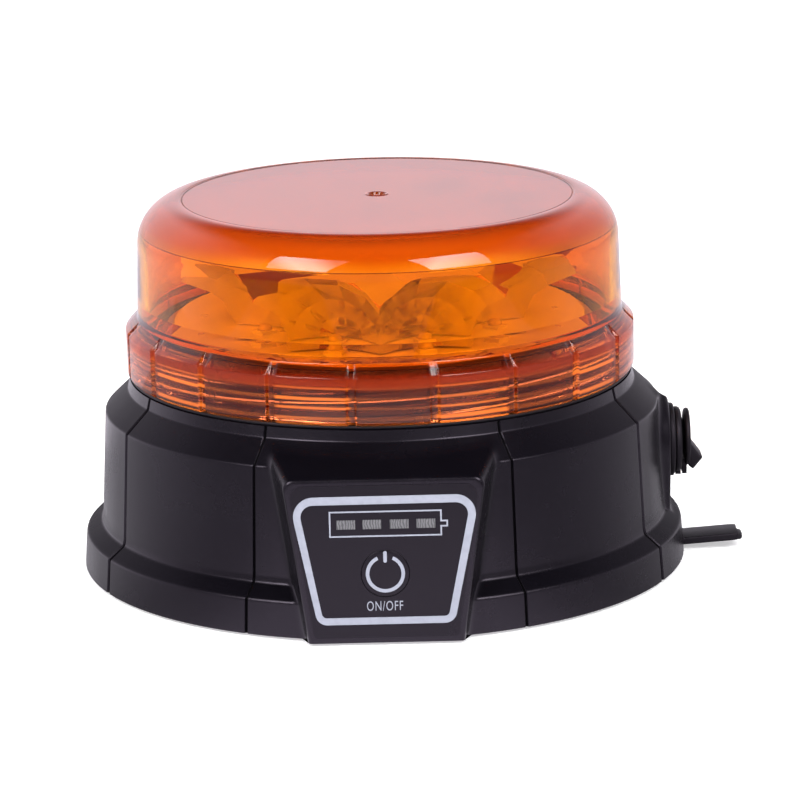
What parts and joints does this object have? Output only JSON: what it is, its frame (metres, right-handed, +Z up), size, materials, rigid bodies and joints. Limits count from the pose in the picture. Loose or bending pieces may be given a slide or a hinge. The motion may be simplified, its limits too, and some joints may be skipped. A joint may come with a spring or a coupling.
{
  "type": "rechargeable magnetic warning beacon",
  "caption": "Round battery warning beacon: screw-on amber dome over a ring of reflector cells, black two-tier housing, push-button panel, capped charging socket and magnetic feet.",
  "frame": {"origin": "centre of the circle the light stands on, on the flat face of the centre pad, level with the magnet faces and the foot ring", "axes": "+Z up along the axis of the dome; -Y is the front, where the control panel faces; +X is towards the charging socket and the lift tab"},
  "size_m": [0.1758, 0.1621, 0.0977],
  "materials": {
    "lens_amber": "clear amber polycarbonate, polished",
    "housing_black": "black moulded plastic with a fine satin texture",
    "rubber_black": "black rubber, matte",
    "film_black": "black printed membrane film, satin",
    "reflector_metallised": "plastic with a vacuum-metallised mirror coating",
    "board_white": "white solder mask",
    "board_green": "green solder mask",
    "led_phosphor": "yellow phosphor lens",
    "guide_clear": "frosted clear light guide",
    "aluminium_plain": "turned, bare",
    "steel_plated": "zinc plated",
    "magnet_nickel": "nickel plated sintered magnet",
    "cell_blue": "heat-shrink wrapped steel can",
    "brass_plain": "turned, bare",
    "nylon_dark": "glass-filled nylon, matte",
    "wire_red": "silicone wire sleeve"
  },
  "bodies": {
    "base": {"housing_shell": "housing_black", "base_cover": "housing_black", "heat_sink": "aluminium_plain", "led_board": "board_white", "reflector": "reflector_metallised", "reflector_standoff": "brass_plain", "reflector_screw": "steel_plated", "control_film": "film_black", "tact_switch": "nylon_dark", "gauge_light_guide": "guide_clear", "control_board": "board_green", "charge_socket": "nylon_dark", "socket_pin": "brass_plain", "socket_nut": "steel_plated", "cap_retainer": "rubber_black", "base_gasket": "rubber_black", "foot_ring": "rubber_black", "battery_tray": "nylon_dark", "battery_clamp": "nylon_dark", "battery_lead": "wire_red", "led_harness": "nylon_dark", "led_1": "led_phosphor", "led_2": "led_phosphor", "led_3": "led_phosphor", "led_4": "led_phosphor", "led_5": "led_phosphor", "led_6": "led_phosphor", "led_7": "led_phosphor", "led_8": "led_phosphor", "led_9": "led_phosphor", "led_10": "led_phosphor", "gauge_led_1": "led_phosphor", "gauge_led_2": "led_phosphor", "gauge_led_3": "led_phosphor", "gauge_led_4": "led_phosphor", "magnet_boot_1": "rubber_black", "magnet_boot_2": "rubber_black", "magnet_boot_3": "rubber_black", "magnet_pot_1": "steel_plated", "magnet_pot_2": "steel_plated", "magnet_pot_3": "steel_plated", "magnet_screw_1": "steel_plated", "magnet_screw_2": "steel_plated", "magnet_screw_3": "steel_plated", "cover_screw_1": "steel_plated", "cover_screw_2": "steel_plated", "cover_screw_3": "steel_plated", "cover_screw_4": "steel_plated", "magnet_disc_1": "magnet_nickel", "magnet_disc_2": "magnet_nickel", "magnet_disc_3": "magnet_nickel", "battery_cell_1": "cell_blue", "battery_cell_2": "cell_blue", "battery_cell_3": "cell_blue"},
    "lens": {"lens_dome": "lens_amber"},
    "lens_seal": {"lens_gasket": "rubber_black"},
    "button": {"power_button": "film_black", "switch_plunger": "nylon_dark"},
    "cap": {"cap_lid": "rubber_black"},
    "tab": {"lift_tab": "rubber_black"}
  },
  "joints": [
    {"name": "lens_unscrew", "type": "hinge", "parent": "lens_seal", "child": "lens", "pos_m": [0, 0, 0.06], "axis": [0, 0, 1], "range_deg": [0, 270]},
    {"name": "lens_lift", "type": "slide", "parent": "base", "child": "lens_seal", "axis": [0, 0, 1], "range_m": [0, 0.0095]},
    {"name": "power_press", "type": "slide", "parent": "base", "child": "button", "axis": [0, 1, 0], "range_m": [0, 0.0006]},
    {"name": "cap_swing", "type": "hinge", "parent": "base", "child": "cap", "pos_m": [0.0795, 0, 0.0202], "axis": [0, 1, 0], "range_deg": [0, 105]},
    {"name": "tab_flex", "type": "hinge", "parent": "base", "child": "tab", "pos_m": [0.0788, 0, 0.0021], "axis": [0, -1, 0], "range_deg": [0, 25]}
  ],
  "couplings": [
    {"joint": "lens_lift", "follows": "lens_unscrew", "m_per_rad": 0.0020054}
  ]
}
